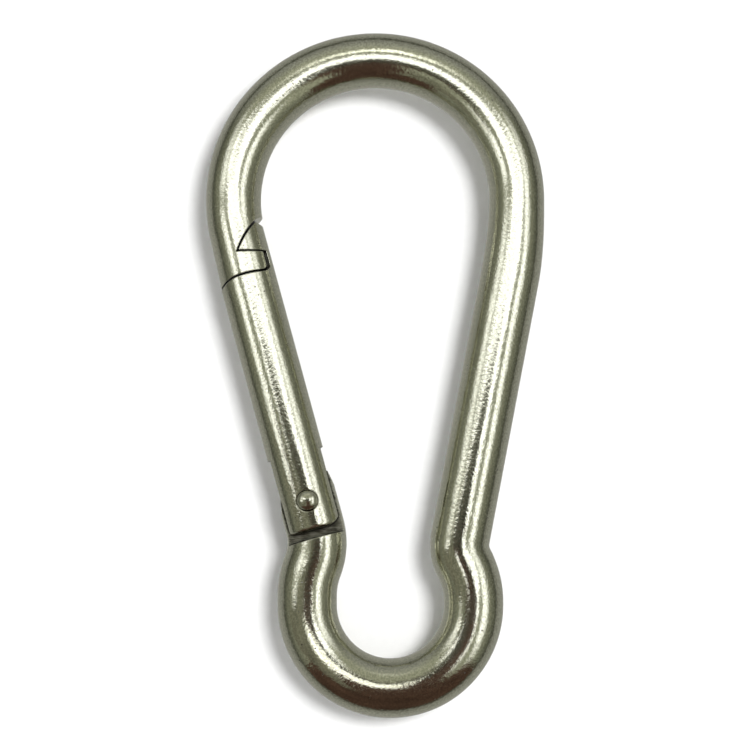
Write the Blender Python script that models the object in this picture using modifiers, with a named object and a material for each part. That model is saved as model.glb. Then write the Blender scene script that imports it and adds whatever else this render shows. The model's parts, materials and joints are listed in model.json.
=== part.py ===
"""Spring-gate snap hook, 140 mm long, bent from 12 mm stainless steel bar.

Run with: blender --background --python part.py

Units are metres. +Z runs up the length of the hook, X across it, and Y through its thickness, so that the
whole centreline lies in the plane y = 0. The origin is the bearing point inside the small eye, and the
wide bow is at the top. The gate has a frame of its own: its origin is the hinge, its Z runs up the gate,
its X points into the hook's opening, and its outlines are written as (x, z) in that frame.
"""

import math

import bmesh
import bpy
from mathutils import Matrix, Vector

# --- The bent bar ---------------------------------------------------------------------------------------
LENGTH = 0.140
BAR_RADIUS = 0.006
EYE_RADIUS = 0.0168  # centreline of the small eye
HINGE_SIDE_RISE = 0.0018  # short straight runs on its two sides, below the necks
SPINE_SIDE_RISE = 0.0006
BOW_RADIUS = 0.029  # centreline of the wide bow
BOW_OFFSET = -0.0031  # the bow's centre stands this far to the gate's side of the eye's centre
BOW_PINCH = 0.94  # bending flattens the bar, in the plane of the bend, to this share of its thickness
SPINE_PINCH_RUN = 0.016  # height over which the flattening fades out below the bow's centre, by the spine
NOSE_PINCH_RUN = 0.036  # the same by the nose
SPINE_LEAN = math.radians(10.95)
SPINE_BEND_RADIUS = 0.088  # gentle bend between the bow and the straight spine
SPINE_NECK_RADIUS = 0.0076
HINGE_NECK_RADIUS = 0.0125
BAR_SIDES = 24
ARC_STEP = math.radians(7.5)

# --- The gate and its hinge -----------------------------------------------------------------------------
GATE_LEAN = math.radians(15.3)
GATE_RADIUS = 0.0058
GATE_OFFSET = 0.00040  # the gate's axis runs this far outside the line that touches the bow's centreline
HINGE_DROP = 0.0562  # from the point where that line touches the bow down to the hinge
GATE_FOOT = -0.00585
SLOT_ROOT = 0.0101
SLOT_WIDTH = 0.0050
FOOT_INNER_CORNER = 0.0026
FOOT_OUTER_CORNER = 0.0012

TONGUE_WIDTH = 0.0044
TONGUE_SHOULDER = -0.0077
TONGUE_ROUND = 0.0055
CAM_RISE = 0.0022  # metres of lift for each radian of the gate's swing
CAM_SPAN = math.radians(48)
TONGUE_INNER_CORNER = (0.0060, 0.0021)
TONGUE_OUTER_CORNER = (-0.0060, -0.0015)

# --- The latch: a nose with two lobes, which grips a hammer head on the gate -----------------------------
LATCH_GAP = 0.0003
SEAM_RADIUS = 0.0476  # the gate's top shoulder curves round the hinge,
SEAM_TURN = -0.0018  # as far out as this x, and then falls away:
SEAM_FALL = 85.0  # its fall over the square of the distance from there
BARB = (-0.0001, 0.0528)
HEAD_INNER = (0.0049, 0.0517)  # where the head's underside meets its neck
HEAD_TOP = (0.0047, 0.0577)
HEAD_FALL = -0.8  # slope of the head's top from there to the inside of the hook
NOSE_RISE = 0.43  # slope of the nose's chamfer above it
HEAD_BULGE = 0.0003
NECK_OUTER = 0.0052  # x of the outer face of the neck beside the lobes
NECK_FILLET = 0.0013
WEB_WIDTH = 0.0040
WEB_OUTER = 0.0010  # x of the web's outer face

# --- The rivet ------------------------------------------------------------------------------------------
RIVET_RADIUS = 0.0019
CHEEK_HOLE_RADIUS = 0.0020
TONGUE_HOLE_RADIUS = 0.0021
RIVET_HEAD_RADIUS = 0.00215
RIVET_HEAD_RIM = 0.0004
RIVET_HEAD_DOME = 0.0013
RIVET_SEAT_RADIUS = 0.0024
RIVET_SEAT = 0.0051  # depth of the spot face under each head, from the centre plane
SEAT_PLAY = 0.0001

# --- The plunger and its spring -------------------------------------------------------------------------
BORE_RADIUS = 0.0024
BORE_END = 0.0325
DRILL_POINT = math.radians(59)  # half the angle of the drill's point
PLUNGER_RADIUS = 0.0022
PLUNGER_PLAY = 0.00012
PLUNGER_HEAD = 0.0060
STEM_RADIUS = 0.0010
STOP_SWING = math.radians(37)  # the gate's swing at which the stem's end meets the end of the bore
WIRE_RADIUS = 0.00035
SPRING_RADIUS = 0.00172  # centre of the wire
SPRING_PLAY = 0.0001
ACTIVE_COILS = 8.5
END_COILS = 1.25
END_PITCH = 0.0008
COIL_STEPS = 14

PART_COLLECTION = "snap_hook"
FAR = 0.009  # how far cutters reach past the bar


def clear_scene():
    for obj in list(bpy.data.objects):
        bpy.data.objects.remove(obj, do_unlink=True)


def new_collection(name):
    collection = bpy.data.collections.new(name)
    bpy.context.scene.collection.children.link(collection)
    return collection


def steel(name, colour, roughness):
    material = bpy.data.materials.new(name)
    material.use_nodes = True
    shader = material.node_tree.nodes["Principled BSDF"]
    shader.inputs["Base Color"].default_value = (*colour, 1.0)
    shader.inputs["Metallic"].default_value = 1.0
    shader.inputs["Roughness"].default_value = roughness
    return material


# --- Geometry in the hook's plane, as (x, z) ------------------------------------------------------------
def at_angle(centre, radius, angle):
    return Vector((centre[0] + radius * math.cos(angle), centre[1] + radius * math.sin(angle)))


def arc(centre, radius, start, end, step=ARC_STEP):
    """Points along an arc, both ends included."""
    count = max(1, math.ceil(abs(end - start) / step))
    return [at_angle(centre, radius, start + (end - start) * i / count) for i in range(count + 1)]


def angle_of(vector):
    return math.atan2(vector.y, vector.x)


def fillet_centre(point, direction, normal, radius, centre, centre_radius):
    """Centre of an arc that touches a line, on the side its normal points to, and a circle from outside."""
    start = point + normal * radius - centre
    along = start.dot(direction)
    reach = centre_radius + radius
    travel = -along - math.sqrt(along**2 - start.length_squared + reach**2)
    return centre + start + direction * travel


FLAT = math.cos(ARC_STEP / 2)  # an arc's flat segments lie this much nearer to its centre than its ends
EYE_CENTRE = Vector((0.0, (EYE_RADIUS - BAR_RADIUS) * FLAT))
HINGE_SIDE_CENTRE = EYE_CENTRE + Vector((0.0, HINGE_SIDE_RISE))
SPINE_SIDE_CENTRE = EYE_CENTRE + Vector((0.0, SPINE_SIDE_RISE))
BOW_CENTRE = Vector((BOW_OFFSET, LENGTH - (2 * BAR_RADIUS + BOW_RADIUS + BAR_RADIUS * BOW_PINCH) * FLAT))
UP_GATE = Vector((-math.sin(GATE_LEAN), math.cos(GATE_LEAN)))
INTO_HOOK = Vector((math.cos(GATE_LEAN), math.sin(GATE_LEAN)))
HINGE = BOW_CENTRE - INTO_HOOK * (BOW_RADIUS + GATE_OFFSET) - UP_GATE * HINGE_DROP
GATE_FRAME = Matrix.Translation((HINGE.x, 0.0, HINGE.y)) @ Matrix.Rotation(-GATE_LEAN, 4, "Y")


def bar_centreline():
    """From the nose, over the bow, down the spine, round the eye and up the tongue."""
    down_spine = Vector((-math.sin(SPINE_LEAN), -math.cos(SPINE_LEAN)))
    out_of_spine = Vector((math.cos(SPINE_LEAN), -math.sin(SPINE_LEAN)))
    bend_centre = BOW_CENTRE + Vector((BOW_RADIUS - SPINE_BEND_RADIUS, 0.0))
    spine_top = bend_centre + out_of_spine * SPINE_BEND_RADIUS
    spine_neck = fillet_centre(
        spine_top, down_spine, out_of_spine, SPINE_NECK_RADIUS, SPINE_SIDE_CENTRE, EYE_RADIUS
    )
    hinge_neck = fillet_centre(
        HINGE, -UP_GATE, -INTO_HOOK, HINGE_NECK_RADIUS, HINGE_SIDE_CENTRE, EYE_RADIUS
    )
    eye_start = angle_of(spine_neck - SPINE_SIDE_CENTRE)
    eye_end = angle_of(hinge_neck - HINGE_SIDE_CENTRE) - 2 * math.pi
    half = ARC_STEP / 2
    top, bottom = math.pi / 2, -math.pi / 2

    nose_end = HINGE + UP_GATE * (SEAM_RADIUS - BAR_RADIUS)
    from_bow = nose_end - BOW_CENTRE
    nose_start = angle_of(from_bow) + 2 * math.pi - math.acos(BOW_RADIUS / from_bow.length)

    points = [nose_end]
    points += arc(BOW_CENTRE, BOW_RADIUS, nose_start, top + half)
    points += arc(BOW_CENTRE, BOW_RADIUS, top - half, 0.0)
    points += arc(bend_centre, SPINE_BEND_RADIUS, 0.0, -SPINE_LEAN, ARC_STEP / 2)[1:]
    points += arc(spine_neck, SPINE_NECK_RADIUS, math.pi - SPINE_LEAN, math.pi + eye_start)
    points += arc(SPINE_SIDE_CENTRE, EYE_RADIUS, eye_start, 0.0)[1:]
    points += arc(EYE_CENTRE, EYE_RADIUS, 0.0, bottom + half)
    points += arc(EYE_CENTRE, EYE_RADIUS, bottom - half, -math.pi)
    points += arc(HINGE_SIDE_CENTRE, EYE_RADIUS, -math.pi, eye_end)
    points += arc(hinge_neck, HINGE_NECK_RADIUS, eye_end + math.pi, GATE_LEAN)[1:]
    points += [HINGE + UP_GATE * (TONGUE_ROUND + CAM_RISE)]
    return points


# --- Making meshes --------------------------------------------------------------------------------------
def mesh_from_curve(curve_object, collection):
    """Replaces a curve object with a mesh object of the same name and place, its caps welded on."""
    bpy.context.view_layer.update()
    graph = bpy.context.evaluated_depsgraph_get()
    mesh = bpy.data.meshes.new_from_object(curve_object.evaluated_get(graph))
    weld = bmesh.new()
    weld.from_mesh(mesh)
    bmesh.ops.remove_doubles(weld, verts=weld.verts, dist=1e-7)
    weld.to_mesh(mesh)
    weld.free()
    name, matrix = curve_object.name, curve_object.matrix_world.copy()
    bpy.data.objects.remove(curve_object, do_unlink=True)
    obj = bpy.data.objects.new(name, mesh)
    obj.matrix_world = matrix
    collection.objects.link(obj)
    return obj


def poly_curve(name, points, collection, cyclic=False):
    """A curve object along straight pieces between 3-D points."""
    data = bpy.data.curves.new(name, "CURVE")
    data.dimensions = "3D"
    spline = data.splines.new("POLY")
    spline.points.add(len(points) - 1)
    for spline_point, (x, y, z) in zip(spline.points, points):
        spline_point.co = (x, y, z, 1.0)
    spline.use_cyclic_u = cyclic
    obj = bpy.data.objects.new(name, data)
    collection.objects.link(obj)
    return obj


def prism(name, outline, y_low, y_high, collection):
    """A plate in the gate's frame with the given (x, z) outline, from y_low to y_high."""
    obj = poly_curve(name, [(x, z, 0.0) for x, z in outline], collection, cyclic=True)
    obj.data.dimensions = "2D"
    obj.data.fill_mode = "BOTH"
    obj.data.extrude = (y_high - y_low) / 2
    upright = Matrix.Translation((0.0, (y_low + y_high) / 2, 0.0)) @ Matrix.Rotation(math.pi / 2, 4, "X")
    obj.matrix_world = GATE_FRAME @ upright
    return as_cutter(mesh_from_curve(obj, collection))


def block(name, low, high, collection):
    """A box in the gate's frame between two corners."""
    outline = [(low[0], low[2]), (high[0], low[2]), (high[0], high[2]), (low[0], high[2])]
    return prism(name, outline, low[1], high[1], collection)


def cross_pin(name, radius, y_low, y_high, collection):
    """A round cutter along the hinge's axis."""
    bpy.ops.mesh.primitive_cylinder_add(vertices=BAR_SIDES, radius=radius, depth=y_high - y_low)
    obj = bpy.context.object
    obj.name = name
    turned = Matrix.Translation((0.0, (y_low + y_high) / 2, 0.0)) @ Matrix.Rotation(math.pi / 2, 4, "X")
    obj.matrix_world = GATE_FRAME @ turned
    move_to(obj, collection)
    return as_cutter(obj)


def turned_piece(name, profile, matrix, steps, collection):
    """A solid of revolution: the profile is (radius, height) from the top of its axis to the bottom."""
    mesh = bpy.data.meshes.new(name)
    vertices = [(radius, 0.0, height) for radius, height in profile]
    mesh.from_pydata(vertices, [(i, i + 1) for i in range(len(vertices) - 1)], [])
    obj = bpy.data.objects.new(name, mesh)
    collection.objects.link(obj)
    screw = obj.modifiers.new("turn", "SCREW")
    screw.steps = screw.render_steps = steps
    screw.use_merge_vertices = True
    screw.merge_threshold = 1e-6
    obj.matrix_world = matrix
    return obj


def move_to(obj, collection):
    for other in list(obj.users_collection):
        other.objects.unlink(obj)
    collection.objects.link(obj)


def as_cutter(obj):
    obj.hide_render = True
    obj.display_type = "WIRE"
    return obj


def cut(target, *cutters):
    for cutter in cutters:
        boolean = target.modifiers.new(cutter.name, "BOOLEAN")
        boolean.operation = "DIFFERENCE"
        boolean.solver = "EXACT"
        boolean.object = cutter


def smooth(obj):
    obj.data.shade_smooth()
    obj.data.set_sharp_from_angle(angle=math.radians(30))


# --- Outlines in the gate's frame -----------------------------------------------------------------------
def seam_height(x):
    return math.sqrt(SEAM_RADIUS**2 - x**2) - SEAM_FALL * min(0.0, x - SEAM_TURN) ** 2


def seam(start, end, step=0.0009):
    count = max(1, math.ceil(abs(end - start) / step))
    across = [start + (end - start) * i / count for i in range(count + 1)]
    return [Vector((x, seam_height(x))) for x in across]


def barb_height(x):
    slope = (HEAD_INNER[1] - BARB[1]) / (HEAD_INNER[0] - BARB[0])
    return BARB[1] + slope * (x - BARB[0])


def head_flank(slope, steps=6):
    """The outer face of the hammer head, bulging a little, and a slope from there past the inner side."""
    low, high = Vector(BARB), Vector(HEAD_TOP)
    rise = high - low
    outward = Vector((-rise.y, rise.x)).normalized()
    points = []
    for i in range(steps + 1):
        share = i / steps
        points.append(low + rise * share + outward * HEAD_BULGE * 4 * share * (1 - share))
    points.append(Vector((FAR, high.y + slope * (FAR - high.x))))
    return points


def grown(line, distance):
    """An open line moved sideways, to the left of its direction, with its corners kept sharp."""
    moved = []
    for i, point in enumerate(line):
        before = (point - line[i - 1]).normalized() if i else None
        after = (line[i + 1] - point).normalized() if i + 1 < len(line) else None
        before, after = before or after, after or before
        normal = Vector((-before.y - after.y, before.x + after.x)).normalized()
        side = Vector((-after.y, after.x))
        moved.append(point + normal * distance / normal.dot(side))
    return moved


def neck_corner():
    """The fillet between the gate's shoulder and the neck beside the lobes, and the neck's top."""
    centre = (NECK_OUTER - NECK_FILLET, seam_height(NECK_OUTER - NECK_FILLET) + NECK_FILLET)
    corner = arc(centre, NECK_FILLET, -math.pi / 2, 0.0, math.radians(15))
    return corner[1:] + [Vector((NECK_OUTER, barb_height(NECK_OUTER)))]


def latch_line(top_slope):
    """The gate's edge, from outside the bar along the seam, up the neck and over the head."""
    return seam(-FAR, NECK_OUTER - NECK_FILLET) + neck_corner() + head_flank(top_slope)


def tongue_end():
    """The end of the tongue, from its inner side over the cam to its outer side."""
    centre = (0.0, 0.0)
    count = 10
    points = [Vector((FAR, TONGUE_INNER_CORNER[1])), Vector(TONGUE_INNER_CORNER)]
    for i in range(count + 1):
        swing = CAM_SPAN * (1 - i / count)
        points.append(at_angle(centre, TONGUE_ROUND + CAM_RISE * swing, math.pi / 2 - swing))
    points += arc(centre, TONGUE_ROUND, math.pi / 2, math.pi, math.radians(10))[1:]
    points += [Vector(TONGUE_OUTER_CORNER), Vector((-FAR, TONGUE_OUTER_CORNER[1]))]
    return points


def cam_contact():
    """Height of the middle of the plunger's round tip when it touches the cam, with the gate shut."""
    swing = 0.0
    for _ in range(20):
        radius = TONGUE_ROUND + CAM_RISE * swing
        slope = math.atan2(CAM_RISE, radius)
        across = PLUNGER_RADIUS * math.sin(slope)
        along = radius + PLUNGER_RADIUS * math.cos(slope)
        swing = math.atan2(across, along)
    return math.hypot(across, along)


# --- The pieces -----------------------------------------------------------------------------------------
def make_body(parts, cutters):
    """The bent bar, with the nose's lobes cut at one end and the hinge's tongue at the other."""
    points = [(point.x, point.y, 0.0) for point in bar_centreline()]
    curve = poly_curve("hook_body", points, parts)
    curve.data.twist_mode = "Z_UP"
    curve.data.bevel_depth = BAR_RADIUS / math.cos(math.pi / BAR_SIDES)
    curve.data.bevel_resolution = (BAR_SIDES - 4) // 2
    curve.data.use_fill_caps = True
    for point in curve.data.splines[0].points:
        point.tilt = math.pi / BAR_SIDES
    curve.matrix_world = Matrix.Rotation(math.pi / 2, 4, "X")
    body = mesh_from_curve(curve, parts)
    body.data.transform(body.matrix_world)
    body.matrix_world = Matrix.Identity(4)
    pinch_bow(body.data)

    half_slot = WEB_WIDTH / 2 + LATCH_GAP
    half_tongue = TONGUE_WIDTH / 2
    nose_line = grown(latch_line(NOSE_RISE), LATCH_GAP)
    below = SEAM_RADIUS - BAR_RADIUS * 2
    slot_low = (WEB_OUTER - LATCH_GAP, -half_slot, below)
    slot_high = (FAR, half_slot, BARB[1] + LATCH_GAP)
    top = TONGUE_ROUND + 2 * BAR_RADIUS
    cut(
        body,
        prism("nose_cut", nose_line + [Vector((FAR, below)), Vector((-FAR, below))], -FAR, FAR, cutters),
        block("nose_slot", slot_low, slot_high, cutters),
        block("tongue_front", (-FAR, -FAR, TONGUE_SHOULDER), (FAR, -half_tongue, top), cutters),
        block("tongue_back", (-FAR, half_tongue, TONGUE_SHOULDER), (FAR, FAR, top), cutters),
        prism("tongue_cut", tongue_end() + [Vector((-FAR, top)), Vector((FAR, top))], -FAR, FAR, cutters),
        cross_pin("tongue_hole", TONGUE_HOLE_RADIUS, -FAR, FAR, cutters),
    )
    return body


def pinch_bow(mesh):
    """Flattens the bar's section towards its centreline round the bow, fading out down both legs."""
    for vertex in mesh.vertices:
        spot = Vector((vertex.co.x, vertex.co.z))
        run = SPINE_PINCH_RUN if spot.x > BOW_CENTRE.x else NOSE_PINCH_RUN
        rise = min(1.0, max(0.0, 1 + (spot.y - BOW_CENTRE.y) / run))
        share = rise * rise * (3 - 2 * rise) * (1 - BOW_PINCH)
        outward = spot - BOW_CENTRE
        moved = BOW_CENTRE + outward.normalized() * (outward.length - (outward.length - BOW_RADIUS) * share)
        if share:
            vertex.co.x, vertex.co.z = moved


def make_gate(parts, cutters):
    """A straight bar with a hammer head at its top, a fork at its foot and a bore between them."""
    bottom, top = GATE_FOOT, HEAD_TOP[1] + BAR_RADIUS
    bpy.ops.mesh.primitive_cylinder_add(
        vertices=BAR_SIDES,
        radius=GATE_RADIUS / math.cos(math.pi / BAR_SIDES),
        depth=top - bottom,
    )
    gate = bpy.context.object
    gate.name = "gate"
    move_to(gate, parts)
    gate.data.transform(Matrix.Translation((0.0, 0.0, (top + bottom) / 2)))
    gate.data.transform(Matrix.Rotation(math.pi / BAR_SIDES, 4, "Z"))
    gate.matrix_world = GATE_FRAME

    above = top + BAR_RADIUS
    half_web = WEB_WIDTH / 2
    web_top = Vector((WEB_OUTER, barb_height(WEB_OUTER)))
    outer = seam(-FAR, WEB_OUTER) + [web_top] + head_flank(HEAD_FALL)
    outer += [Vector((FAR, above)), Vector((-FAR, above))]
    pocket = seam(WEB_OUTER, NECK_OUTER - NECK_FILLET) + neck_corner()
    pocket += [web_top, Vector((0.0, (SEAM_RADIUS + BARB[1]) / 2))]
    half_slot = SLOT_WIDTH / 2
    cut(
        gate,
        prism("head_cut", outer, -FAR, FAR, cutters),
        prism("front_pocket", pocket, -FAR, -half_web, cutters),
        prism("back_pocket", pocket, half_web, FAR, cutters),
        block("fork_slot", (-FAR, -half_slot, GATE_FOOT - FAR), (FAR, half_slot, SLOT_ROOT), cutters),
        foot_corner("inner_corner", 1, FOOT_INNER_CORNER, cutters),
        foot_corner("outer_corner", -1, FOOT_OUTER_CORNER, cutters),
        spring_bore(cutters),
        cross_pin("cheek_holes", CHEEK_HOLE_RADIUS, -FAR, FAR, cutters),
        cross_pin("front_seat", RIVET_SEAT_RADIUS, -FAR, -RIVET_SEAT, cutters),
        cross_pin("back_seat", RIVET_SEAT_RADIUS, RIVET_SEAT, FAR, cutters),
    )
    return gate


def foot_corner(name, side, radius, cutters):
    """What rounding takes off one lower corner of the fork: side is 1 inside the hook and -1 outside."""
    centre = (GATE_RADIUS - radius, GATE_FOOT + radius)
    line = arc(centre, radius, 0.0, -math.pi / 2, math.radians(15))
    line = [Vector((FAR, centre[1]))] + line + [Vector((centre[0], GATE_FOOT - radius))]
    line.append(Vector((FAR, GATE_FOOT - radius)))
    return prism(name, [(side * x, z) for x, z in line], -FAR, FAR, cutters)


def spring_bore(cutters):
    """The drilled hole that holds the spring and the plunger, with the drill's cone at its end."""
    cone = BORE_RADIUS / math.tan(DRILL_POINT)
    profile = [(0.0, BORE_END + cone), (BORE_RADIUS, BORE_END), (BORE_RADIUS, 0.0), (0.0, 0.0)]
    return as_cutter(turned_piece("spring_bore", profile, GATE_FRAME, BAR_SIDES, cutters))


def dome(radius, height, base, steps):
    """Profile points of a round cap from its pole down to its rim, the rim left out."""
    curve = (radius**2 + height**2) / (2 * height)
    spread = math.asin(radius / curve)
    points = []
    for i in range(steps):
        angle = spread * i / steps
        points.append((curve * math.sin(angle), base + height - curve * (1 - math.cos(angle))))
    return points


def make_rivet(parts):
    """The hinge pin, with a domed head on each side that sits in a spot face of the fork."""
    seat = RIVET_SEAT + SEAT_PLAY
    rim = seat + RIVET_HEAD_RIM
    upper = dome(RIVET_HEAD_RADIUS, RIVET_HEAD_DOME, rim, 6)
    upper += [(RIVET_HEAD_RADIUS, rim), (RIVET_HEAD_RADIUS, seat), (RIVET_RADIUS, seat)]
    profile = upper + [(radius, -height) for radius, height in reversed(upper)]
    matrix = GATE_FRAME @ Matrix.Rotation(math.pi / 2, 4, "X")
    return turned_piece("hinge_rivet", profile, matrix, 24, parts)


def make_plunger(parts):
    """A pin with a round tip that rides the tongue's cam, and a thin stem inside the spring."""
    middle = cam_contact() + PLUNGER_PLAY
    shoulder = middle + PLUNGER_HEAD
    cap = dome(PLUNGER_RADIUS, PLUNGER_RADIUS, -middle, 6)
    tip = [(radius, -height) for radius, height in reversed(cap)]
    stem_end = BORE_END - CAM_RISE * STOP_SWING
    profile = [(0.0, stem_end), (STEM_RADIUS, stem_end)]
    profile += [(STEM_RADIUS, shoulder), (PLUNGER_RADIUS, shoulder), (PLUNGER_RADIUS, middle)] + tip
    return turned_piece("spring_plunger", profile, GATE_FRAME, 24, parts)


def make_spring(parts):
    """A compression spring between the plunger's shoulder and the end of the bore, with closed ends."""
    low = cam_contact() + PLUNGER_PLAY + PLUNGER_HEAD + SPRING_PLAY + WIRE_RADIUS
    high = BORE_END - SPRING_PLAY - WIRE_RADIUS
    active_pitch = (high - low - 2 * END_COILS * END_PITCH) / ACTIVE_COILS
    total = ACTIVE_COILS + 2 * END_COILS
    steps = round(total * COIL_STEPS)
    points = []
    for i in range(steps + 1):
        turn = total * i / steps
        closed = min(turn, END_COILS) + max(0.0, turn - END_COILS - ACTIVE_COILS)
        height = low + closed * END_PITCH + (turn - closed) * active_pitch
        angle = 2 * math.pi * turn
        points.append((SPRING_RADIUS * math.cos(angle), SPRING_RADIUS * math.sin(angle), height))
    spring = poly_curve("gate_spring", points, parts)
    spring.data.bevel_depth = WIRE_RADIUS
    spring.data.bevel_resolution = 2
    spring.data.use_fill_caps = True
    spring.matrix_world = GATE_FRAME
    return spring


def hang_on(parent, *children):
    for child in children:
        world = child.matrix_world.copy()
        child.parent = parent
        child.matrix_parent_inverse = parent.matrix_world.inverted()
        child.matrix_world = world


def main():
    clear_scene()
    parts = new_collection(PART_COLLECTION)
    cutters = new_collection(PART_COLLECTION + "_cutters")

    body = make_body(parts, cutters)
    gate = make_gate(parts, cutters)
    rivet = make_rivet(parts)
    plunger = make_plunger(parts)
    spring = make_spring(parts)

    polished = steel("polished_steel", (0.62, 0.62, 0.55), 0.22)
    bright = steel("bright_rivet", (0.70, 0.69, 0.62), 0.15)
    drawn = steel("spring_wire", (0.50, 0.50, 0.48), 0.30)
    finishes = {body: polished, gate: polished, rivet: bright, plunger: bright, spring: drawn}
    for obj, material in finishes.items():
        obj.data.materials.append(material)
    for obj in (body, gate):
        smooth(obj)

    hinge_axis = bpy.data.objects.new("hinge_axis", None)
    hinge_axis.matrix_world = GATE_FRAME
    parts.objects.link(hinge_axis)
    bpy.context.view_layer.update()
    hang_on(hinge_axis, gate, rivet, plunger, spring)


main()
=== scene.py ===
"""A snap hook of polished stainless steel, standing just in front of a white sheet.

The shapes are worked out again here, finer than the CAD's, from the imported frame's own positions.
Points in the hook's plane are written (x, z). The gate has its own frame: origin at the hinge, Z up the
gate, X into the hook's opening.
"""

import json
import math

import bmesh
import bpy
from mathutils import Matrix, Vector
from mathutils.kdtree import KDTree


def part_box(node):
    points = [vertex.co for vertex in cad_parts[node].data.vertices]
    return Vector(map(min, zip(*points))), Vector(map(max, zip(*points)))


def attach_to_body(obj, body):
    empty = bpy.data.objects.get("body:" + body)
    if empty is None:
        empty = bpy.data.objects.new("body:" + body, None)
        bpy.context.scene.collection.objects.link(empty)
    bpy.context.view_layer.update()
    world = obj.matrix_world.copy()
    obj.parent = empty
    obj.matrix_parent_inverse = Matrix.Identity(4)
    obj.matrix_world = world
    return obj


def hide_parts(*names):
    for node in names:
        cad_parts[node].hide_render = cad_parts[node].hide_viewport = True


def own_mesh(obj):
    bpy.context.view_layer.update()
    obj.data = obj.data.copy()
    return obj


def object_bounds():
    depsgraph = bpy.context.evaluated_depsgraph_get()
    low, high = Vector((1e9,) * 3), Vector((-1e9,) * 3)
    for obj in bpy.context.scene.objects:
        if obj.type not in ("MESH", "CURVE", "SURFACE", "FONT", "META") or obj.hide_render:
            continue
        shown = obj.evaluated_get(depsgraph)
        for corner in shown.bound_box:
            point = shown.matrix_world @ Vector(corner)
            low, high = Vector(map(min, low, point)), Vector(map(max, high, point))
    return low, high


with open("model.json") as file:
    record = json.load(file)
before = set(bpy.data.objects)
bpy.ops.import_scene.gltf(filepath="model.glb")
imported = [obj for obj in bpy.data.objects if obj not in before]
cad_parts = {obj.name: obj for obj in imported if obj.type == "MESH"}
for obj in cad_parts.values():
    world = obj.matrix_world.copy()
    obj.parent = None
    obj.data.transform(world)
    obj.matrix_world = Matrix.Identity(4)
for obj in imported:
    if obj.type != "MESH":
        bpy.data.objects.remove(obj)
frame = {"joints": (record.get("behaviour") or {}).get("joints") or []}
cad_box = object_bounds()

# --- Dimensions, in metres ------------------------------------------------------------------------------
BODY_LOW, BODY_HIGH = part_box("hook_body")
RIVET_LOW, RIVET_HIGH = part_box("hinge_rivet")
JOINTS = {joint["name"]: joint for joint in frame["joints"]}

# The bent bar: a bow, a spine, a neck on each side and an eye
BAR_RADIUS = BODY_HIGH.y
EYE_RADIUS = 0.0168
HINGE_SIDE_RISE = 0.0018
SPINE_SIDE_RISE = 0.0006
BOW_RADIUS = 0.029
BOW_PINCH = 0.94
SPINE_PINCH_RUN = 0.016
NOSE_PINCH_RUN = 0.036
SPINE_LEAN = math.radians(10.95)
SPINE_BEND_RADIUS = 0.088
SPINE_NECK_RADIUS = 0.0076
HINGE_NECK_RADIUS = 0.0125

# The gate's forked foot and the tongue inside it
GATE_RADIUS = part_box("gate")[1].y
GATE_FOOT = -0.00585
SLOT_ROOT = 0.0101
SLOT_WIDTH = 0.0050
FOOT_INNER_CORNER = 0.0034
FOOT_OUTER_CORNER = 0.0012
FOOT_ROUNDING = 0.0007
TONGUE_WIDTH = 0.0044
TONGUE_SHOULDER = -0.0077
TONGUE_ROUND = 0.0055
CAM_RISE = 0.0022
CAM_SPAN = math.radians(48)
TONGUE_INNER_CORNER = (0.0060, 0.0021)
TONGUE_OUTER_CORNER = (-0.0060, -0.0015)

# The latch: the seam under the nose, the gate's hooked head and the web in its middle
LATCH_GAP = 0.00038
SEAM_RADIUS = 0.0476
SEAM_TURN = -0.0018
SEAM_FALL = 70.0
BARB = (-0.0001, 0.0528)
HEAD_INNER = (0.0049, 0.0517)
HEAD_TOP = (0.0047, 0.0577)
HEAD_FALL = -0.8
NOSE_RISE = 0.43
HEAD_BULGE = 0.0003
NECK_OUTER = 0.0052
LOBE_OUTER = 0.0049
NECK_FILLET = 0.0013
WEB_WIDTH = 0.0040
WEB_OUTER = 0.0010

# Rivet, bore, plunger and spring
RIVET_RADIUS = 0.0019
HOLE_RADIUS = 0.0020
RIVET_SEAT = 0.0051
RIVET_LIFT = 0.00005
RIVET_SEAT_PLAY = 0.00006
RIVET_HEAD_RADIUS = (RIVET_HIGH.x - RIVET_LOW.x) / 2
RIVET_SEAT_RADIUS = RIVET_HEAD_RADIUS + RIVET_SEAT_PLAY
RIM_HEIGHT = 0.00047
RIM_UNDERCUT = 0.00004
RIM_ROUND = 0.00006
RIM_FALL = 0.00007
DOME_INSET = 0.00009
BORE_RADIUS = 0.0024
BORE_END = 0.0325
DRILL_POINT = math.radians(118)
PLUNGER_RADIUS = 0.0022
PLUNGER_PLAY = 0.00012
PLUNGER_HEAD = 0.0060
STEM_RADIUS = 0.0010
PIN_BEVEL = 0.00015
STOP_SWING = math.radians(37)
WIRE_RADIUS = 0.00035
SPRING_RADIUS = 0.00172
SPRING_PLAY = 0.0001
ACTIVE_COILS = 8.5
END_COILS = 1.25
END_PITCH = 0.0008

# Fineness of the meshes
BAR_SIDES = 80
PIN_SIDES = 64
RIVET_SIDES = 72
WIRE_SIDES = 16
COIL_STEPS = 40
FOOT_STEPS = 6
DOME_STEPS = 20
TIP_STEPS = 16
CAM_STEPS = 32
STATION_STEP = 0.0008
CENTRELINE_STEP = 0.0004
SHARP_EDGE = math.radians(28)
# A vertex this close to the bar's radius is on its round, not on a cut.
ON_THE_ROUND = 0.00002

# Cutters reach this far from the middle of the bar.
FAR = 0.009


# --- The plane of the hook ------------------------------------------------------------------------------
def flat(vector):
    return Vector((vector[0], vector[2]))


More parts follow.
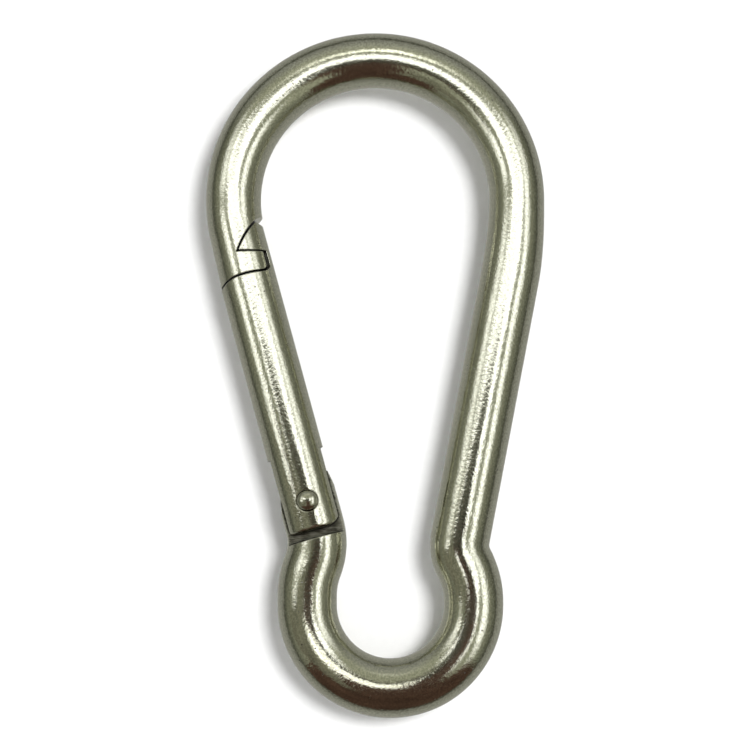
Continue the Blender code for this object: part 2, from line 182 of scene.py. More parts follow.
HINGE = flat(JOINTS["gate_hinge"]["pos_m"])
UP_GATE = flat(JOINTS["plunger_slide"]["axis"]).normalized()
INTO_HOOK = Vector((UP_GATE.y, -UP_GATE.x))
GATE_LEAN = math.atan2(-UP_GATE.x, UP_GATE.y)
EYE_CENTRE = Vector((0.0, BODY_LOW.z + BAR_RADIUS + EYE_RADIUS))
BOW_CENTRE = Vector((
    BODY_LOW.x + BOW_RADIUS + BAR_RADIUS * BOW_PINCH,
    BODY_HIGH.z - BOW_RADIUS - BAR_RADIUS * BOW_PINCH,
))
GATE_FRAME = Matrix((
    (INTO_HOOK.x, 0.0, UP_GATE.x, HINGE.x),
    (0.0, 1.0, 0.0, 0.0),
    (INTO_HOOK.y, 0.0, UP_GATE.y, HINGE.y),
    (0.0, 0.0, 0.0, 1.0),
))
ACROSS_GATE = GATE_FRAME @ Matrix.Rotation(math.pi / 2, 4, "X")


def at_angle(centre, radius, angle):
    return Vector((centre[0] + radius * math.cos(angle), centre[1] + radius * math.sin(angle)))


def arc(centre, radius, start, end, step=math.radians(6)):
    count = max(1, math.ceil(abs(end - start) / step))
    return [at_angle(centre, radius, start + (end - start) * i / count) for i in range(count + 1)]


def angle_of(vector):
    return math.atan2(vector.y, vector.x)


def to_right(direction):
    return Vector((direction.y, -direction.x))


def fillet_centre(point, direction, normal, radius, eye_centre):
    """Centre of an arc that touches a line, on the side its normal points to, and the eye from outside."""
    start = point + normal * radius - eye_centre
    along = start.dot(direction)
    travel = -along - math.sqrt(along**2 - start.length_squared + (EYE_RADIUS + radius) ** 2)
    return eye_centre + start + direction * travel


def centreline():
    """Stations (point, direction) from the nose over the bow, spine and eye to the hinge."""
    down_spine = Vector((-math.sin(SPINE_LEAN), -math.cos(SPINE_LEAN)))
    out_of_spine = Vector((math.cos(SPINE_LEAN), -math.sin(SPINE_LEAN)))
    spine_side = EYE_CENTRE + Vector((0.0, SPINE_SIDE_RISE))
    hinge_side = EYE_CENTRE + Vector((0.0, HINGE_SIDE_RISE))
    bend = BOW_CENTRE + Vector((BOW_RADIUS - SPINE_BEND_RADIUS, 0.0))
    spine_top = bend + out_of_spine * SPINE_BEND_RADIUS
    spine_neck = fillet_centre(spine_top, down_spine, out_of_spine, SPINE_NECK_RADIUS, spine_side)
    hinge_neck = fillet_centre(HINGE, -UP_GATE, -INTO_HOOK, HINGE_NECK_RADIUS, hinge_side)
    eye_start = angle_of(spine_neck - spine_side)
    eye_end = angle_of(hinge_neck - hinge_side) - 2 * math.pi
    nose_end = HINGE + UP_GATE * (SEAM_RADIUS - BAR_RADIUS)
    from_bow = nose_end - BOW_CENTRE
    nose_start = angle_of(from_bow) + 2 * math.pi - math.acos(BOW_RADIUS / from_bow.length)

    corners = [nose_end]
    for centre, radius, start, end in (
        (BOW_CENTRE, BOW_RADIUS, nose_start, 0.0),
        (bend, SPINE_BEND_RADIUS, 0.0, -SPINE_LEAN),
        (spine_neck, SPINE_NECK_RADIUS, math.pi - SPINE_LEAN, math.pi + eye_start),
        (spine_side, EYE_RADIUS, eye_start, 0.0),
        (EYE_CENTRE, EYE_RADIUS, 0.0, -math.pi),
        (hinge_side, EYE_RADIUS, -math.pi, eye_end),
        (hinge_neck, HINGE_NECK_RADIUS, eye_end + math.pi, GATE_LEAN),
    ):
        corners += arc(centre, radius, start, end, CENTRELINE_STEP / radius)
    corners.append(HINGE + UP_GATE * (TONGUE_ROUND + CAM_RISE))
    return even(corners, STATION_STEP)


def even(corners, step):
    """Stations (point, direction) at even steps along a polyline."""
    lengths = [0.0]
    for a, b in zip(corners, corners[1:]):
        lengths.append(lengths[-1] + (b - a).length)
    count = round(lengths[-1] / step)
    points = []
    leg = 0
    for i in range(count + 1):
        want = lengths[-1] * i / count
        while leg < len(corners) - 2 and lengths[leg + 1] < want:
            leg += 1
        run = max(lengths[leg + 1] - lengths[leg], 1e-12)
        points.append(corners[leg].lerp(corners[leg + 1], (want - lengths[leg]) / run))
    stations = []
    for i, point in enumerate(points):
        ahead, behind = points[min(i + 1, count)], points[max(i - 1, 0)]
        stations.append((point, (ahead - behind).normalized()))
    return stations


def pinch(point):
    """Share of its thickness that the bar keeps in the plane of the bend."""
    run = SPINE_PINCH_RUN if point.x > BOW_CENTRE.x else NOSE_PINCH_RUN
    rise = min(1.0, max(0.0, 1 + (point.y - BOW_CENTRE.y) / run))
    return 1 - rise * rise * (3 - 2 * rise) * (1 - BOW_PINCH)


# --- Building meshes ------------------------------------------------------------------------------------
def new_object(name, vertices, faces, materials=()):
    mesh = bpy.data.meshes.new(name)
    mesh.from_pydata([tuple(v) for v in vertices], [], faces)
    work = bmesh.new()
    work.from_mesh(mesh)
    bmesh.ops.recalc_face_normals(work, faces=work.faces)
    work.to_mesh(mesh)
    work.free()
    obj = bpy.data.objects.new(name, mesh)
    bpy.context.scene.collection.objects.link(obj)
    for material in materials:
        mesh.materials.append(material)
    return obj


def tube(rings):
    """Vertices and faces of a closed tube through equal rings of points."""
    sides = len(rings[0])
    vertices = [point for ring in rings for point in ring]
    faces = []
    for i in range(len(rings) - 1):
        for j in range(sides):
            k = (j + 1) % sides
            faces.append((i * sides + j, i * sides + k, (i + 1) * sides + k, (i + 1) * sides + j))
    faces.append(tuple(range(sides)))
    faces.append(tuple(range((len(rings) - 1) * sides, len(rings) * sides)))
    return vertices, faces


def bar_ring(point, direction, radius, share):
    side = to_right(direction)
    ring = []
    for j in range(BAR_SIDES):
        angle = 2 * math.pi * j / BAR_SIDES
        spot = point + side * (radius * share * math.cos(angle))
        ring.append((spot.x, radius * math.sin(angle), spot.y))
    return ring


def prism(outline, y_low=-FAR, y_high=FAR):
    """A cutter with the given (x, z) outline in the gate's frame."""
    rings = []
    for y in (y_low, y_high):
        rings.append([GATE_FRAME @ Vector((x, y, z)) for x, z in outline])
    return new_object("cutter", *tube(rings))


def block(low, high):
    outline = [(low[0], low[2]), (high[0], low[2]), (high[0], high[2]), (low[0], high[2])]
    return prism(outline, low[1], high[1])


def turned(name, profile, matrix, steps, materials=()):
    """A solid of revolution about Z from (radius, height) points, both ends on the axis."""
    rings = []
    for radius, height in profile[1:-1]:
        turn = [2 * math.pi * j / steps for j in range(steps)]
        rings.append([matrix @ Vector((radius * math.cos(a), radius * math.sin(a), height)) for a in turn])
    vertices, faces = tube(rings)
    del faces[-2:]
    for pole, ring in ((profile[0], 0), (profile[-1], len(rings) - 1)):
        vertices.append(matrix @ Vector((0.0, 0.0, pole[1])))
        top = len(vertices) - 1
        for j in range(steps):
            faces.append((top, ring * steps + j, ring * steps + (j + 1) % steps))
    return new_object(name, vertices, faces, materials)


def cross_pin(radius, y_low, y_high):
    profile = [(0.0, -y_low), (radius, -y_low), (radius, -y_high), (0.0, -y_high)]
    return turned("cutter", profile, ACROSS_GATE, PIN_SIDES)


def carve(obj, cutters):
    """Cuts the cutters out of obj. The cut faces take obj's second material."""
    for cutter in cutters:
        for material in obj.data.materials:
            cutter.data.materials.append(material)
        cutter.data.polygons.foreach_set("material_index", [1] * len(cutter.data.polygons))
        cutter.hide_render = True
        boolean = obj.modifiers.new("cut", "BOOLEAN")
        boolean.operation = "DIFFERENCE"
        boolean.solver = "EXACT"
        boolean.object = cutter
    bpy.context.view_layer.update()
    graph = bpy.context.evaluated_depsgraph_get()
    mesh = bpy.data.meshes.new_from_object(obj.evaluated_get(graph))
    obj.modifiers.clear()
    obj.data = mesh
    mesh.name = obj.name
    for cutter in cutters:
        bpy.data.objects.remove(cutter, do_unlink=True)


def station_finder(stations):
    """A search tree of the stations, and each one's distance from the first."""
    tree = KDTree(len(stations))
    lengths = [0.0]
    for i, (point, _) in enumerate(stations):
        tree.insert((point.x, point.y, 0.0), i)
        if i:
            lengths.append(lengths[-1] + (point - stations[i - 1][0]).length)
    tree.balance()
    return tree, lengths


def place_on_bar(spot, stations, i):
    """Distance past station i, distance across the bar, and the bar's direction there."""
    point, direction = stations[i]
    along = (spot - point).dot(direction)
    foot = point + direction * along
    across = (spot - foot).dot(to_right(direction))
    near = stations[min(max(i + (1 if along > 0 else -1), 0), len(stations) - 1)]
    share = min(1.0, abs(along) / max((near[0] - point).length, 1e-9))
    return along, across, direction.lerp(near[1], share).normalized()


def finish_bar(obj, stations, radius, share_at=lambda point: 1.0):
    """Exact normals on the round of the bar, sharp cut edges, and the place along and across the bar."""
    mesh = obj.data
    mesh.shade_smooth()
    mesh.set_sharp_from_angle(angle=SHARP_EDGE)
    tree, lengths = station_finder(stations)
    places = []
    normals = []
    for vertex in mesh.vertices:
        spot = flat(vertex.co)
        _, i, _ = tree.find((spot.x, spot.y, 0.0))
        along, across, direction = place_on_bar(spot, stations, i)
        places.append((lengths[i] + along, across, vertex.co.y))
        side = to_right(direction)
        keep = share_at(stations[i][0])
        reach = across / keep**2
        normal = Vector((side.x * reach, vertex.co.y, side.y * reach)).normalized()
        off = abs(math.hypot(across / keep, vertex.co.y) - radius)
        normals.append(normal if off < ON_THE_ROUND else None)
    attribute = mesh.attributes.new("bar", "FLOAT_VECTOR", "POINT")
    attribute.data.foreach_set("vector", [value for place in places for value in place])
    set_normals(mesh, normals)


def set_normals(mesh, normals):
    """Gives the faces of the first material the vertex normals that are known."""
    custom = [Vector((0.0, 0.0, 0.0))] * len(mesh.loops)
    for polygon in mesh.polygons:
        if polygon.material_index:
            continue
        for i in polygon.loop_indices:
            normal = normals[mesh.loops[i].vertex_index]
            if normal is not None:
                custom[i] = normal
    mesh.normals_split_custom_set(custom)


# --- Outlines in the gate's frame -----------------------------------------------------------------------
def seam_height(x):
    """A circle about the hinge, which falls away at its outer end."""
    return math.sqrt(SEAM_RADIUS**2 - x**2) - SEAM_FALL * min(0.0, x - SEAM_TURN) ** 2


def seam(start, end, step=0.0003):
    count = max(1, math.ceil(abs(end - start) / step))
    across = [start + (end - start) * i / count for i in range(count + 1)]
    return [Vector((x, seam_height(x))) for x in across]


def barb_height(x):
    slope = (HEAD_INNER[1] - BARB[1]) / (HEAD_INNER[0] - BARB[0])
    return BARB[1] + slope * (x - BARB[0])


def head_flank(slope, steps=16):
    low, high = Vector(BARB), Vector(HEAD_TOP)
    rise = high - low
    outward = Vector((-rise.y, rise.x)).normalized()
    points = []
    for i in range(steps + 1):
        share = i / steps
        points.append(low + rise * share + outward * HEAD_BULGE * 4 * share * (1 - share))
    points.append(Vector((FAR, high.y + slope * (FAR - high.x))))
    return points


def neck_corner(outer):
    centre = (outer - NECK_FILLET, seam_height(outer - NECK_FILLET) + NECK_FILLET)
    corner = arc(centre, NECK_FILLET, -math.pi / 2, 0.0)
    return corner[1:] + [Vector((outer, barb_height(outer)))]


def grown(line, distance):
    """An open line moved to the left of its direction, with its corners kept sharp."""
    moved = []
    for i, point in enumerate(line):
        before = (point - line[i - 1]).normalized() if i else None
        after = (line[i + 1] - point).normalized() if i + 1 < len(line) else None
        before, after = before or after, after or before
        normal = Vector((-before.y - after.y, before.x + after.x)).normalized()
        moved.append(point + normal * distance / normal.dot(Vector((-after.y, after.x))))
    return moved


def tongue_end():
    points = [Vector((FAR, TONGUE_INNER_CORNER[1])), Vector(TONGUE_INNER_CORNER)]
    for i in range(CAM_STEPS + 1):
        swing = CAM_SPAN * (1 - i / CAM_STEPS)
        points.append(at_angle((0.0, 0.0), TONGUE_ROUND + CAM_RISE * swing, math.pi / 2 - swing))
    points += arc((0.0, 0.0), TONGUE_ROUND, math.pi / 2, math.pi, math.radians(3))[1:]
    return points + [Vector(TONGUE_OUTER_CORNER), Vector((-FAR, TONGUE_OUTER_CORNER[1]))]


def foot_corner(side, radius):
    centre = (GATE_RADIUS - radius, GATE_FOOT + radius)
    line = [Vector((FAR, centre[1]))] + arc(centre, radius, 0.0, -math.pi / 2)
    line += [Vector((centre[0], GATE_FOOT - radius)), Vector((FAR, GATE_FOOT - radius))]
    return prism([(side * x, z) for x, z in line])


# --- Materials ------------------------------------------------------------------------------------------
class Nodes:
    """A short way to write the nodes of a material or of the world."""

    def __init__(self, owner):
        owner.use_nodes = True
        self.owner = owner
        self.tree = owner.node_tree
        self.tree.nodes.clear()

    def add(self, kind, inputs=None, **settings):
        node = self.tree.nodes.new(kind)
        for key, value in settings.items():
            setattr(node, key, value)
        for key, value in (inputs or {}).items():
            if isinstance(value, bpy.types.NodeSocket):
                self.tree.links.new(value, node.inputs[key])
            else:
                node.inputs[key].default_value = value
        return node

    def math(self, operation, a, b=0.0, clamp=False):
        node = self.add("ShaderNodeMath", {0: a, 1: b}, operation=operation, use_clamp=clamp)
        return node.outputs[0]

    def times(self, a, b):
        return self.math("MULTIPLY", a, b)

    def plus(self, a, b):
        return self.math("ADD", a, b)

    def minus(self, a, b):
        return self.math("SUBTRACT", a, b)

    def distance(self, a, b):
        return self.math("SQRT", self.plus(self.times(a, a), self.times(b, b)))

    def vector(self, operation, inputs, output=0):
        return self.add("ShaderNodeVectorMath", inputs, operation=operation).outputs[output]

    def parts(self, vector):
        return self.add("ShaderNodeSeparateXYZ", {0: vector}).outputs

    def ramp(self, value, stops):
        node = self.add("ShaderNodeValToRGB", {"Fac": value})
        elements = node.color_ramp.elements
        elements.remove(elements[1])
        for i, (position, shade) in enumerate(stops):
            element = elements.new(position) if i else elements[0]
            element.position = position
            element.color = (*shade, 1.0) if isinstance(shade, tuple) else (shade, shade, shade, 1.0)
        return node.outputs["Color"]

    def object_place(self):
        return self.add("ShaderNodeTexCoord").outputs["Object"]

    def noise(self, vector, scale, detail=2.0, roughness=0.5):
        settings = {"Vector": vector, "Scale": scale, "Detail": detail, "Roughness": roughness}
        return self.add("ShaderNodeTexNoise", settings).outputs["Fac"]

    def stretched(self, vector, scale):
        return self.add("ShaderNodeMapping", {"Vector": vector, "Scale": scale}).outputs["Vector"]

    def mix(self, share, a, b):
        node = self.add("ShaderNodeMix", data_type="RGBA")
        for index, value in ((0, share), (6, a), (7, b)):
            if isinstance(value, bpy.types.NodeSocket):
                self.tree.links.new(value, node.inputs[index])
            else:
                node.inputs[index].default_value = (*value, 1.0)
        return node.outputs[2]

    def relief(self, height):
        """Normals of bumps of the given height, over edges that look slightly rounded."""
        rounded = self.add("ShaderNodeBevel", {"Radius": WORN_EDGE}, samples=6).outputs[0]
        look = {"Strength": 1.0, "Distance": 1.0, "Height": height, "Normal": rounded}
        return self.add("ShaderNodeBump", look).outputs[0]

    def metal(self, tint, roughness, normal):
        look = {"Base Color": tint, "Metallic": 1.0, "Roughness": roughness, "Normal": normal}
        return self.add("ShaderNodeBsdfPrincipled", look).outputs[0]

    def glow(self, tint, strength=1.0):
        return self.add("ShaderNodeEmission", {"Color": tint, "Strength": strength}).outputs[0]

    def clear(self):
        return self.add("ShaderNodeBsdfTransparent").outputs[0]

    def blend(self, share, a, b):
        return self.add("ShaderNodeMixShader", {0: share, 1: a, 2: b}).outputs[0]

    def finish(self, shader):
        self.add("ShaderNodeOutputMaterial", {"Surface": shader})
        return self.owner


STEEL = (0.62, 0.62, 0.50)
STAINED_STEEL = tuple(0.93 * c for c in STEEL)
GRAIN = (0.20, 0.20, 0.15)
PIT = (0.06, 0.055, 0.04)
SCRATCH = (0.90, 0.90, 0.78)
# Colour of painted shade and grime in gaps and corners, where shade falls
SHADE_AND_GRIME = (0.012, 0.011, 0.009)
MILLED_STEEL = (0.24, 0.24, 0.19)
MILLED_STAIN = (0.06, 0.057, 0.045)
TOOL_MARK = (0.48, 0.48, 0.40)

WORN_EDGE = 0.00034
# How far the painted shade and grime in gaps reaches
SHADE_AND_GRIME_REACH = 0.0009
PEEL_HEIGHT = 0.000034
WAVE_HEIGHT = 0.000100
DRAWN_HEIGHT = 0.0000009
PIT_DEPTH = 0.000010
MARK_HEIGHT = 0.00006
GRAIN_HEIGHT = 0.00005


def shade_and_grime(n, tint, open_limit=0.72):
    """Painted shade with black grime where the steel is close to another face, found by ambient occlusion,
    and none where it is more open than the given limit.
    """
    open_sky = n.add("ShaderNodeAmbientOcclusion", {"Distance": SHADE_AND_GRIME_REACH}, samples=8).outputs["AO"]
    return n.mix(n.ramp(open_sky, [(open_limit - 0.30, 1.0), (open_limit, 0.0)]), tint, SHADE_AND_GRIME)


def pits(n, spot):
    cells = n.add("ShaderNodeTexVoronoi", {"Vector": spot, "Scale": 700.0}, feature="F1").outputs["Distance"]
    some = n.noise(spot, 260.0, 2.0)
    return n.times(n.math("LESS_THAN", cells, 0.13), n.math("GREATER_THAN", some, 0.60))


def scratches(n, spot):
    some = n.noise(spot, 90.0, 2.0)
    settings = {"Vector": spot, "Scale": 210.0, "Distortion": 14.0, "Detail": 2.0, "Detail Scale": 1.6}
    lines = n.add("ShaderNodeTexWave", settings).outputs["Fac"]
    return n.times(n.math("GREATER_THAN", lines, 0.992), n.math("GREATER_THAN", some, 0.56))


def polished_steel(name, place="bar", haze=0.08):
    """Tumbled and polished stainless steel: orange peel, drawn lines along the bar, pits, scratches, and
    painted shade with grime in gaps and corners.
    """
    n = Nodes(bpy.data.materials.new(name))
    bar = n.add("ShaderNodeAttribute", attribute_name=place).outputs["Vector"]
    spot = n.object_place()
    peel = n.noise(spot, 1800.0, 2.0, 0.6)
    wave = n.noise(n.stretched(bar, (70.0, 240.0, 240.0)), 1.0, 2.0)
    drawn = n.noise(n.stretched(bar, (90.0, 5200.0, 5200.0)), 1.0, 2.0)
    stains = n.ramp(n.noise(spot, 160.0, 4.0, 0.6), [(0.35, 0.0), (0.70, 1.0)])
    grain = n.ramp(n.noise(spot, 2600.0, 1.0), [(0.36, 0.27), (0.62, 0.0)])
    pit = pits(n, spot)

    tint = n.mix(stains, STEEL, STAINED_STEEL)
    tint = n.mix(grain, tint, GRAIN)
    tint = n.mix(n.times(pit, 0.75), tint, PIT)
    tint = n.mix(n.times(scratches(n, spot), 0.20), tint, SCRATCH)
    # Painted shade and grime where the steel is close to another face
    tint = shade_and_grime(n, tint)
    rough = n.plus(n.ramp(peel, [(0.30, 0.05), (0.72, 0.12)]), n.times(pit, 0.25))
    height = n.plus(n.times(peel, PEEL_HEIGHT), n.times(wave, WAVE_HEIGHT))
    height = n.plus(height, n.times(drawn, DRAWN_HEIGHT))
    height = n.minus(height, n.times(pit, PIT_DEPTH))
    normal = n.relief(height)
    return n.finish(n.blend(haze, n.metal(tint, rough, normal), n.metal(tint, 0.32, normal)))


def cut_steel(name):
    """Sawn and milled steel: duller, with parallel tool marks, and painted shade with dirt in gaps and
    corners.
    """
    n = Nodes(bpy.data.materials.new(name))
    spot = n.object_place()
    marks = n.noise(n.stretched(spot, (500.0, 500.0, 3600.0)), 1.0, 3.0, 0.6)
    grain = n.noise(spot, 2200.0, 3.0)
    stains = n.ramp(n.noise(spot, 420.0, 3.0), [(0.38, 0.0), (0.62, 1.0)])
    tint = n.mix(stains, MILLED_STEEL, MILLED_STAIN)
    tint = n.mix(n.ramp(marks, [(0.42, 0.0), (0.62, 0.75)]), tint, TOOL_MARK)
    # Painted shade and dirt in gaps and corners, stronger than on the polished steel
    tint = shade_and_grime(n, tint, 0.90)
    height = n.plus(n.times(marks, MARK_HEIGHT), n.times(grain, GRAIN_HEIGHT))
    return n.finish(n.metal(tint, 0.38, n.relief(height)))


polished = polished_steel("polished_steel")
cut_face = cut_steel("cut_steel")
turned_steel = polished_steel("turned_steel", "position")
wire_steel = polished_steel("spring_wire", "position", 0.3)


# --- Pieces ---------------------------------------------------------------------------------------------
def attach(piece, body, node):
    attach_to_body(piece, body)
    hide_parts(node)


def make_body():
    stations = centreline()
    rings = [bar_ring(point, direction, BAR_RADIUS, pinch(point)) for point, direction in stations]
    body = new_object("bent_bar", *tube(rings), (polished, cut_face))
    half_slot = WEB_WIDTH / 2 + LATCH_GAP
    half_tongue = TONGUE_WIDTH / 2
    line = seam(-FAR, LOBE_OUTER - NECK_FILLET) + neck_corner(LOBE_OUTER) + head_flank(NOSE_RISE)
    below = SEAM_RADIUS - BAR_RADIUS * 2
    top = TONGUE_ROUND + 2 * BAR_RADIUS
    carve(body, [
        prism(grown(line, LATCH_GAP) + [Vector((FAR, below)), Vector((-FAR, below))]),
        block((WEB_OUTER - LATCH_GAP, -half_slot, below), (FAR, half_slot, BARB[1] + LATCH_GAP)),
        block((-FAR, -FAR, TONGUE_SHOULDER), (FAR, -half_tongue, top)),
        block((-FAR, half_tongue, TONGUE_SHOULDER), (FAR, FAR, top)),
        prism(tongue_end() + [Vector((-FAR, top)), Vector((FAR, top))]),
        cross_pin(HOLE_RADIUS, -FAR, FAR),
    ])
    finish_bar(body, stations, BAR_RADIUS, pinch)
    polish_above_head(body)
    attach(body, "hook", "hook_body")


def polish_above_head(body):
    """The nose's inner face above the gate's head is polished like the bar."""
    to_gate = GATE_FRAME.inverted()
    for face in body.data.polygons:
        spot = to_gate @ face.center
        if face.material_index and spot.x > HEAD_TOP[0] and spot.z > HEAD_TOP[1]:
            face.material_index = 0


def gate_rings(stations):
    """The foot end has a small round edge."""
    rings = []
    for i in range(FOOT_STEPS + 1):
        turn = math.radians(90 * i / FOOT_STEPS)
        point = HINGE + UP_GATE * (GATE_FOOT + FOOT_ROUNDING * (1 - math.cos(turn)))
        rings.append(bar_ring(point, UP_GATE, GATE_RADIUS - FOOT_ROUNDING * (1 - math.sin(turn)), 1.0))
    return rings + [bar_ring(point, direction, GATE_RADIUS, 1.0) for point, direction in stations[1:]]


def make_gate():
    top = HEAD_TOP[1] + BAR_RADIUS
    stations = even([HINGE + UP_GATE * GATE_FOOT, HINGE + UP_GATE * top], STATION_STEP)
    gate = new_object("gate_bar", *tube(gate_rings(stations)), (polished, cut_face))
    above = top + BAR_RADIUS
    half_web = WEB_WIDTH / 2
    half_slot = SLOT_WIDTH / 2
    web_top = Vector((WEB_OUTER, barb_height(WEB_OUTER)))
    outer = seam(-FAR, WEB_OUTER) + [web_top] + head_flank(HEAD_FALL)
    pocket = seam(WEB_OUTER, NECK_OUTER - NECK_FILLET) + neck_corner(NECK_OUTER)
    pocket += [web_top, Vector((0.0, (SEAM_RADIUS + BARB[1]) / 2))]
    cone = BORE_RADIUS / math.tan(DRILL_POINT / 2)
    bore = [(0.0, BORE_END + cone), (BORE_RADIUS, BORE_END), (BORE_RADIUS, 0.0), (0.0, 0.0)]
    carve(gate, [
        prism(outer + [Vector((FAR, above)), Vector((-FAR, above))]),
        prism(pocket, -FAR, -half_web),
        prism(pocket, half_web, FAR),
        block((-FAR, -half_slot, GATE_FOOT - FAR), (FAR, half_slot, SLOT_ROOT)),
        foot_corner(1, FOOT_INNER_CORNER),
        foot_corner(-1, FOOT_OUTER_CORNER),
        turned("cutter", bore, GATE_FRAME, PIN_SIDES),
        cross_pin(HOLE_RADIUS, -FAR, FAR),
        cross_pin(RIVET_SEAT_RADIUS, -FAR, -RIVET_SEAT),
        cross_pin(RIVET_SEAT_RADIUS, RIVET_SEAT, FAR),
    ])
    finish_bar(gate, stations, GATE_RADIUS)
    attach(gate, "gate", "gate")


def make_rivet():
    """A round pin with a domed head on each side. Each dome has a narrow rim."""
    seat = RIVET_SEAT + RIVET_LIFT
    rim = RIVET_HEAD_RADIUS
    shoulder = seat + RIM_HEIGHT
    side = [(RIVET_RADIUS, seat), (rim - RIM_UNDERCUT, seat), (rim, seat + RIM_ROUND)]
    side += [(rim, shoulder - RIM_FALL), (rim - RIM_ROUND, shoulder)]
    for i in range(DOME_STEPS):
        turn = math.pi / 2 * i / DOME_STEPS
        height = shoulder + (RIVET_HIGH.y - shoulder) * math.sin(turn)
        side.append(((rim - DOME_INSET) * math.cos(turn), height))
    side.append((0.0, RIVET_HIGH.y))
    profile = [(radius, -height) for radius, height in reversed(side)] + side
    rivet = turned("domed_rivet", profile, ACROSS_GATE, RIVET_SIDES, (turned_steel,))
    smooth_turned(rivet, 40)
    attach(rivet, "gate", "hinge_rivet")


def smooth_turned(obj, sharp_degrees):
    obj.data.shade_smooth()
    obj.data.set_sharp_from_angle(angle=math.radians(sharp_degrees))


def cam_contact():
    """Height of the middle of the plunger's round tip when it touches the cam, with the gate shut."""
    swing = 0.0
    for _ in range(20):
        radius = TONGUE_ROUND + CAM_RISE * swing
        slope = math.atan2(CAM_RISE, radius)
        across = PLUNGER_RADIUS * math.sin(slope)
        along = radius + PLUNGER_RADIUS * math.cos(slope)
        swing = math.atan2(across, along)
    return math.hypot(across, along)


def make_plunger():
    middle = cam_contact() + PLUNGER_PLAY
    shoulder = middle + PLUNGER_HEAD
    end = BORE_END - CAM_RISE * STOP_SWING
    profile = [(0.0, end), (STEM_RADIUS - PIN_BEVEL, end), (STEM_RADIUS, end - PIN_BEVEL)]
    profile += [(STEM_RADIUS, shoulder), (PLUNGER_RADIUS - PIN_BEVEL, shoulder)]
    profile.append((PLUNGER_RADIUS, shoulder - PIN_BEVEL))
    for i in range(TIP_STEPS):
        turn = math.pi / 2 * i / TIP_STEPS
        profile.append((PLUNGER_RADIUS * math.cos(turn), middle - PLUNGER_RADIUS * math.sin(turn)))
    profile.append((0.0, middle - PLUNGER_RADIUS))
    plunger = turned("round_nosed_pin", profile, GATE_FRAME, PIN_SIDES, (turned_steel,))
    smooth_turned(plunger, 35)
    attach(plunger, "plunger", "spring_plunger")


def coil_line(low, high):
    """Points along the middle of the wire, closely wound at both ends."""
    pitch = (high - low - 2 * END_COILS * END_PITCH) / ACTIVE_COILS
    total = ACTIVE_COILS + 2 * END_COILS
    steps = round(total * COIL_STEPS)
    points = []
    for i in range(steps + 1):
        turn = total * i / steps
        closed = min(turn, END_COILS) + max(0.0, turn - END_COILS - ACTIVE_COILS)
        height = low + closed * END_PITCH + (turn - closed) * pitch
        angle = 2 * math.pi * turn
        points.append(Vector((SPRING_RADIUS * math.cos(angle), SPRING_RADIUS * math.sin(angle), height)))
    return points


def make_spring():
    """A coil spring with closed ends."""
    low = cam_contact() + PLUNGER_PLAY + PLUNGER_HEAD + SPRING_PLAY + WIRE_RADIUS
    high = BORE_END - SPRING_PLAY - WIRE_RADIUS
    points = coil_line(low, high)
    turns = [2 * math.pi * j / WIRE_SIDES for j in range(WIRE_SIDES)]
    rings = []
    for i, point in enumerate(points):
        along = (points[min(i + 1, len(points) - 1)] - points[max(i - 1, 0)]).normalized()
        out = Vector((point.x, point.y, 0.0)).normalized()
        up = along.cross(out).normalized()
        ring = [point + out * (WIRE_RADIUS * math.cos(a)) + up * (WIRE_RADIUS * math.sin(a)) for a in turns]
        rings.append([GATE_FRAME @ spot for spot in ring])
    spring = new_object("coil", *tube(rings), (wire_steel,))
    smooth_turned(spring, 50)
    attach(spring, "gate", "gate_spring")
    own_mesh(spring)


make_body()
make_gate()
make_rivet()
make_plunger()
make_spring()


# --- Stage ----------------------------------------------------------------------------------------------
VIEW_RISE = math.radians(-6.0)
VIEW_TURN = math.radians(0.8)
VIEW_DISTANCE = 0.60
# Share of the picture's height that the hook fills
VIEW_FILL = 0.912
VIEW_SHIFT = -0.0041
SENSOR_WIDTH = 36.0
MIDDLE = (Vector(cad_box[0]) + Vector(cad_box[1])) / 2
TO_VIEWER = Vector((
    math.cos(VIEW_RISE) * math.sin(VIEW_TURN),
    -math.cos(VIEW_RISE) * math.cos(VIEW_TURN),
    math.sin(VIEW_RISE),
))

# Strength of the plain white light that falls on everything. The backdrop itself is seen at 1.0.
AMBIENT = 0.24
LAMP_STRENGTH = 1.75
STRIP_STRENGTH = 2.2
CENTRE_STRENGTH = 2.0
OVAL_STRENGTH = 2.0
OVAL_MIDDLE = 0.236
OVAL_HALF_WIDTH = 0.235
OVAL_ABOVE = 0.117
OVAL_BELOW = 0.181

# Dark cloths in front of and below the hook, which only show as reflections. They are glowing cards whose
# glow is painted light on the cloth.
WIDE_CLOTH_DISTANCE = 0.26
SIDE_CLOTH_DISTANCE = 0.10
LOW_CLOTH_DROP = 0.132

SHEET_GAP = 0.0002
SHEET_HALF_WIDTH = 2.0
SHEET_HEIGHT = 0.6
SHEET_DEPTH = 3.0
SHEET_BEND = 0.030
BEND_STEPS = 24
FLOOR_DROP = 0.050
GLOW_GAP = 0.00005
# Steel nearer to the front than this y reflects the sheet.
FRONT_OF_STEEL = 0.0036
FRONT_FADE = 700.0


def midway(n):
    """Sideways and upward parts of the direction midway between the light and the viewer in front."""
    way = n.parts(n.add("ShaderNodeTexCoord").outputs["Generated"])
    forward = n.times(n.math("ABSOLUTE", way[1]), -1.0)
    way = n.add("ShaderNodeCombineXYZ", {0: way[0], 1: forward, 2: way[2]}).outputs[0]
    half = n.vector("ADD", {0: way, 1: TO_VIEWER})
    half = n.parts(n.vector("NORMALIZE", {0: half}))
    up = n.plus(n.times(half[2], math.cos(VIEW_RISE)), n.times(half[1], math.sin(VIEW_RISE)))
    return half[0], up


def walls(n, across, up):
    """Olive walls, darker towards the sides."""
    olive = [(0.00, 0.40), (0.24, 0.42), (0.46, 0.46), (0.55, 0.30), (0.63, 0.23), (0.71, 0.145)]
    return n.ramp(n.distance(across, up), [(at, (0.98 * v, v, 0.80 * v)) for at, v in olive])


